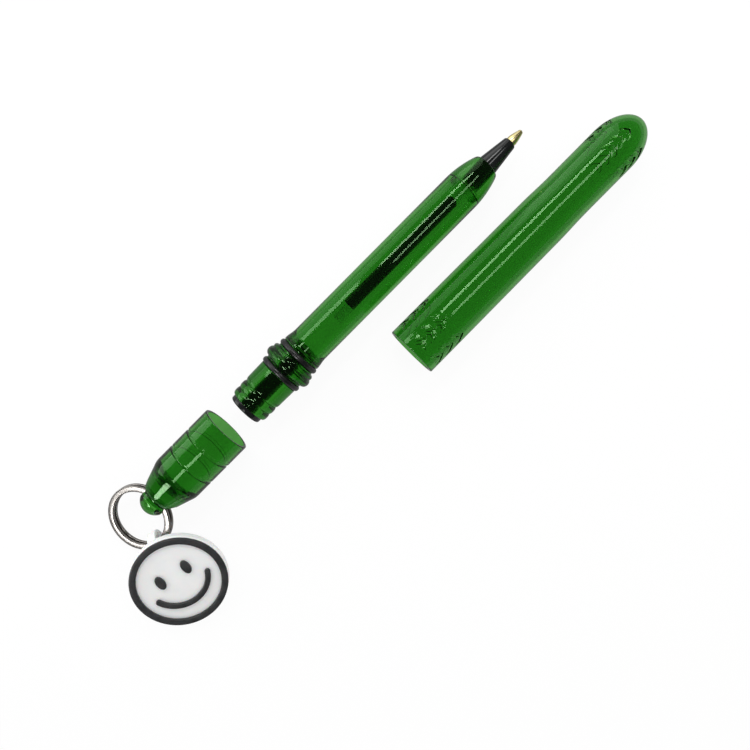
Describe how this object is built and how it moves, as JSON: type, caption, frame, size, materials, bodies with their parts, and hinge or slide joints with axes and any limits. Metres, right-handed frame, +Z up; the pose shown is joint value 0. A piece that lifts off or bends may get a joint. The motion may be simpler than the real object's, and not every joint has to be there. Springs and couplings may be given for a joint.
{
  "type": "pocket pen",
  "caption": "Slim clear green pocket pen with both caps drawn off: a long cap with moulded grip chevrons, and a tapered end cap that carries a split ring and a round charm.",
  "frame": {"origin": "middle of the underside of the whole layout, on the table", "axes": "+X along the pen towards its writing point, +Y away from the long cap, +Z up"},
  "size_m": [0.1586, 0.0352, 0.0126],
  "materials": {
    "clear_green": "polished injection-moulded clear green polystyrene",
    "black_rubber": "moulded nitrile rubber, satin",
    "black_plastic": "moulded black polypropylene, satin",
    "brass": "turned brass",
    "steel": "ground steel",
    "clear_tube": "extruded clear polypropylene",
    "ink": "black oil-based ink",
    "ring_steel": "nickel-plated spring steel wire, flattened",
    "white_vinyl": "soft moulded white vinyl",
    "black_vinyl": "soft moulded black vinyl"
  },
  "bodies": {
    "pen": {"barrel": "clear_green", "rear_o_ring": "black_rubber", "front_o_ring": "black_rubber", "tail_plug": "black_plastic"},
    "refill": {"nose_cone": "black_plastic", "tip_body": "brass", "ink_tube": "clear_tube", "ink_column": "ink"},
    "ball": {"writing_ball": "steel"},
    "cap": {"long_cap": "clear_green"},
    "end": {"end_cap": "clear_green"},
    "ring": {"split_ring": "ring_steel"},
    "charm": {"charm_base": "white_vinyl", "charm_rim": "black_vinyl", "charm_left_eye": "black_vinyl", "charm_right_eye": "black_vinyl", "charm_smile": "black_vinyl"}
  },
  "joints": [
    {"name": "long_cap_slide", "type": "slide", "parent": "pen", "child": "cap", "axis": [1, 0, 0], "range_m": [-0.0195, 0.0545]},
    {"name": "end_cap_slide", "type": "slide", "parent": "pen", "child": "end", "axis": [1, 0, 0], "range_m": [-0.02, 0.0186]},
    {"name": "refill_slide", "type": "slide", "parent": "pen", "child": "refill", "axis": [1, 0, 0], "range_m": [0, 0.05]},
    {"name": "ball_roll", "type": "hinge", "parent": "refill", "child": "ball", "pos_m": [0.05839, 0.00974, 0.0061], "axis": [0, 1, 0], "continuous": true},
    {"name": "ring_swing", "type": "hinge", "parent": "end", "child": "ring", "pos_m": [-0.05836, 0.00974, 0.0061], "axis": [0, 1, 0], "range_deg": [0, 120]},
    {"name": "charm_swing", "type": "hinge", "parent": "ring", "child": "charm", "pos_m": [-0.06618, 0.00272, 0.00314], "axis": [-0.9778, 0.2096, 0], "range_deg": [0, 20]}
  ]
}
